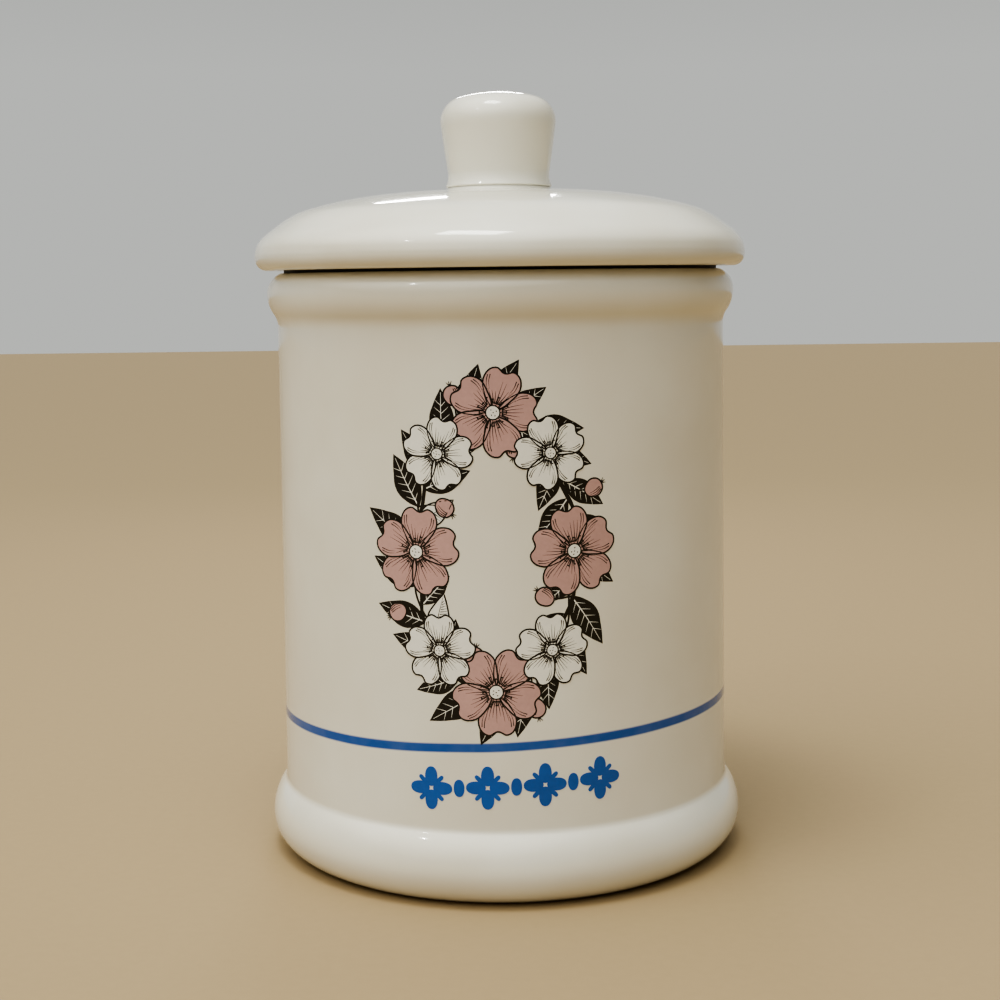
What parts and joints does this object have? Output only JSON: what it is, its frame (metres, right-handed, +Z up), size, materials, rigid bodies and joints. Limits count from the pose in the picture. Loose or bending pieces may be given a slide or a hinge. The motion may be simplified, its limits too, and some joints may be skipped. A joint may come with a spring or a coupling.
{
  "type": "bacon grease container",
  "caption": "Covered glazed stoneware keeper for bacon fat, with a knobbed lid, a seal ring and a drop-in perforated strainer that lift out of the mouth.",
  "frame": {"origin": "on the table plane, in the middle of the foot", "axes": "+Z up along the jar's axis, -Y towards the decorated front, +X to the right of the front; the strainer's strap spans X"},
  "size_m": [0.1562, 0.1562, 0.2404],
  "materials": {
    "jar_glaze": "glossy cream glaze with a blue band, bare clay on the foot ring",
    "lid_glaze": "glossy cream glaze",
    "knob_glaze": "glossy cream glaze",
    "seal_rubber": "smooth dark rubber",
    "pan_steel": "satin pressed stainless sheet",
    "strap_steel": "satin stainless strip"
  },
  "bodies": {
    "jar": {"jar": "jar_glaze"},
    "seal_ring": {"lid_seal": "seal_rubber"},
    "lid": {"lid": "lid_glaze", "lid_knob": "knob_glaze"},
    "strainer": {"strainer_pan": "pan_steel", "strainer_strap": "strap_steel"}
  },
  "joints": [
    {"name": "lid_lift", "type": "slide", "parent": "jar", "child": "seal_ring", "axis": [0, 0, 1], "range_m": [0, 0.13]},
    {"name": "lid_turn", "type": "hinge", "parent": "seal_ring", "child": "lid", "pos_m": [0, 0, 0.184], "axis": [0, 0, 1], "continuous": true},
    {"name": "strainer_lift", "type": "slide", "parent": "jar", "child": "strainer", "axis": [0, 0, 1], "range_m": [0, 0.065]}
  ],
  "couplings": [
    {"joint": "strainer_lift", "follows": "lid_lift", "ratio": 0.5}
  ]
}
